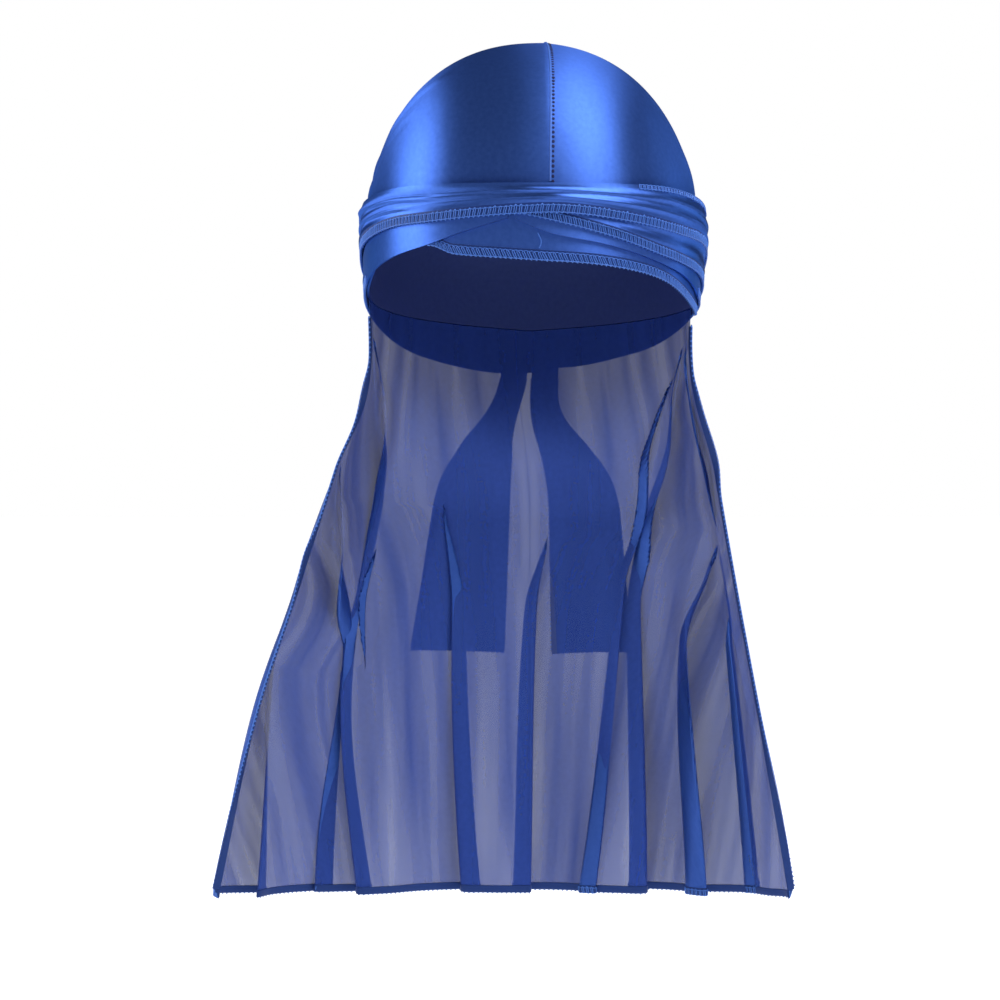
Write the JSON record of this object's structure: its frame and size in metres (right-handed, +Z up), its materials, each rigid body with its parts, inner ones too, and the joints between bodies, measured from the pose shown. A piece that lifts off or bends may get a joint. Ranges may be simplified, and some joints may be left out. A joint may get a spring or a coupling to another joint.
{
  "type": "durag",
  "caption": "Satin durag worn and tied: two-panel crown with centre seam, straps wound round the band and knotted behind, and a long flared tail.",
  "frame": {"origin": "point where the top of the head bears on the inside of the crown", "axes": "+Z up, the wearer faces -Y, the wearer's left is +X"},
  "size_m": [0.2816, 0.2159, 0.4042],
  "materials": {
    "crown": "glossy woven satin, royal blue, strong stretched highlights",
    "tail": "satin outside, duller greyish blue reverse inside, slightly sheer",
    "strap": "glossy satin with lengthwise gathers",
    "seam_thread": "raised seam ridge with small lockstitch holes",
    "overlock": "slanted overlock threads over the cut edge, light blue"
  },
  "bodies": {
    "root": {"crown_panel_right": "crown", "crown_panel_left": "crown", "centre_seam": "seam_thread", "front_hem": "overlock", "tail_panel_right": "tail", "tail_panel_left": "tail", "tail_hem": "overlock", "strap_right": "strap", "strap_left": "strap", "knot": "strap", "strap_end_right": "strap", "strap_end_left": "strap"}
  },
  "joints": []
}
